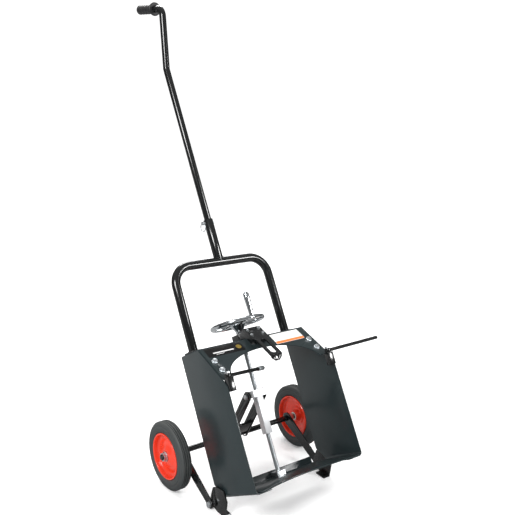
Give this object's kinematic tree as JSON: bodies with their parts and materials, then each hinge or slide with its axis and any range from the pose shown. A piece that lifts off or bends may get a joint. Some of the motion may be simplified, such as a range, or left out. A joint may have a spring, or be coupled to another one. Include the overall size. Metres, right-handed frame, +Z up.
{
  "type": "gas cylinder cart",
  "caption": "Two-wheel torch cart: tube frame with long removable handle, panelled cylinder cradle, and a handwheel screw that moves the axle on trailing arms.",
  "frame": {"origin": "on the nose plate's top face, on the middle plane, 340 mm in front of the upright cart's back reference", "axes": "+X to the right as seen from the front, +Y to the back, +Z up with the cart standing on its wheels and feet, leant back 30 degrees"},
  "size_m": [0.7203, 1.1642, 1.6564],
  "materials": {
    "black_gloss": "gloss black powder coat",
    "slate_paint": "gloss dark slate powder coat",
    "chrome": "polished chrome plate",
    "zinc": "bright zinc plate",
    "white_zinc": "pale zinc plate",
    "red_paint": "gloss red-orange enamel",
    "tyre_rubber": "solid rubber",
    "grip_rubber": "moulded rubber",
    "bush_plastic": "natural nylon",
    "label_black": "satin film, plain marks",
    "label_white": "satin film, plain marks"
  },
  "bodies": {
    "frame": {"u_frame": "black_gloss", "handle_sleeve": "black_gloss", "handle_tube": "black_gloss", "grip": "grip_rubber", "top_plate": "slate_paint", "nose_plate": "slate_paint", "bearing_block": "black_gloss", "foot_bearing": "zinc", "clamp_tongue": "black_gloss", "tongue_stand": "black_gloss", "plate_bolts": "zinc", "plate_nuts": "zinc", "tongue_screws": "zinc", "left_label": "label_black", "right_label": "label_white", "left_leg_flange": "black_gloss", "left_panel": "slate_paint", "left_foot_bracket": "black_gloss", "left_pivot_bolt": "zinc", "left_hinge_post": "black_gloss", "left_hinge_bolt": "zinc", "right_leg_flange": "black_gloss", "right_panel": "slate_paint", "right_foot_bracket": "black_gloss", "right_pivot_bolt": "zinc", "right_hinge_post": "black_gloss", "right_hinge_bolt": "zinc"},
    "screw": {"lead_screw": "zinc", "handwheel": "chrome", "knob_spindle": "chrome"},
    "crank_knob": {"crank_knob": "chrome"},
    "carriage": {"lift_nut": "white_zinc", "guide_tube": "white_zinc", "link_bolts": "zinc"},
    "links": {"left_link": "black_gloss", "right_link": "black_gloss", "link_web": "black_gloss"},
    "axle_swing": {"axle": "black_gloss", "left_trailing_arm": "black_gloss", "left_axle_collar": "zinc", "left_hub_nut": "zinc", "right_trailing_arm": "black_gloss", "right_axle_collar": "zinc", "right_hub_nut": "zinc"},
    "left_wheel": {"left_tyre": "tyre_rubber", "left_rim": "red_paint", "left_bush": "bush_plastic"},
    "right_wheel": {"right_tyre": "tyre_rubber", "right_rim": "red_paint", "right_bush": "bush_plastic"},
    "left_arm": {"left_retaining_arm": "black_gloss", "arm_ferrule": "zinc"},
    "right_arm": {"right_retaining_arm": "black_gloss"},
    "lynch_pin": {"lynch_pin": "zinc"},
    "pin_ring": {"pin_ring": "zinc"}
  },
  "joints": [
    {"name": "screw_turn", "type": "hinge", "parent": "frame", "child": "screw", "pos_m": [0, 0.30375, 0.3581], "axis": [0, 0.5, 0.866], "range_deg": [-2250, 1800]},
    {"name": "knob_spin", "type": "hinge", "parent": "screw", "child": "crank_knob", "pos_m": [0.08119, 0.37869, 0.4534], "axis": [0, 0.5, 0.866], "continuous": true},
    {"name": "nut_travel", "type": "slide", "parent": "frame", "child": "carriage", "axis": [0, 0.5, 0.866], "range_m": [-0.041, 0.051]},
    {"name": "link_swing", "type": "hinge", "parent": "carriage", "child": "links", "pos_m": [0, 0.22427, 0.19845], "axis": [1, 0, 0], "range_deg": [-11.8, 9.5]},
    {"name": "axle_lift", "type": "hinge", "parent": "frame", "child": "axle_swing", "pos_m": [0, 0.13599, -0.10045], "axis": [1, 0, 0], "range_deg": [-6.3, 7.8]},
    {"name": "left_wheel_spin", "type": "hinge", "parent": "axle_swing", "child": "left_wheel", "pos_m": [-0.283, 0.32549, 0.00376], "axis": [1, 0, 0], "continuous": true},
    {"name": "right_wheel_spin", "type": "hinge", "parent": "axle_swing", "child": "right_wheel", "pos_m": [0.283, 0.32549, 0.00376], "axis": [1, 0, 0], "continuous": true},
    {"name": "left_arm_swing", "type": "hinge", "parent": "frame", "child": "left_arm", "pos_m": [-0.21, 0.09483, 0.36325], "axis": [0, 0.5, 0.866], "range_deg": [-160, 0]},
    {"name": "right_arm_swing", "type": "hinge", "parent": "frame", "child": "right_arm", "pos_m": [0.21, 0.09483, 0.36325], "axis": [0, 0.5, 0.866], "range_deg": [-150, 0]},
    {"name": "pin_pull", "type": "slide", "parent": "frame", "child": "lynch_pin", "axis": [-1, 0, 0], "range_m": [0, 0.055]},
    {"name": "ring_swing", "type": "hinge", "parent": "lynch_pin", "child": "pin_ring", "pos_m": [-0.0245, 0.53894, 0.75248], "axis": [0, 1, 0], "range_deg": [-5, 60]}
  ],
  "couplings": [
    {"joint": "nut_travel", "follows": "screw_turn", "m_per_rad": -0.0012732},
    {"joint": "axle_lift", "follows": "screw_turn", "ratio": -0.0033143},
    {"joint": "link_swing", "follows": "screw_turn", "ratio": 0.0049814}
  ]
}
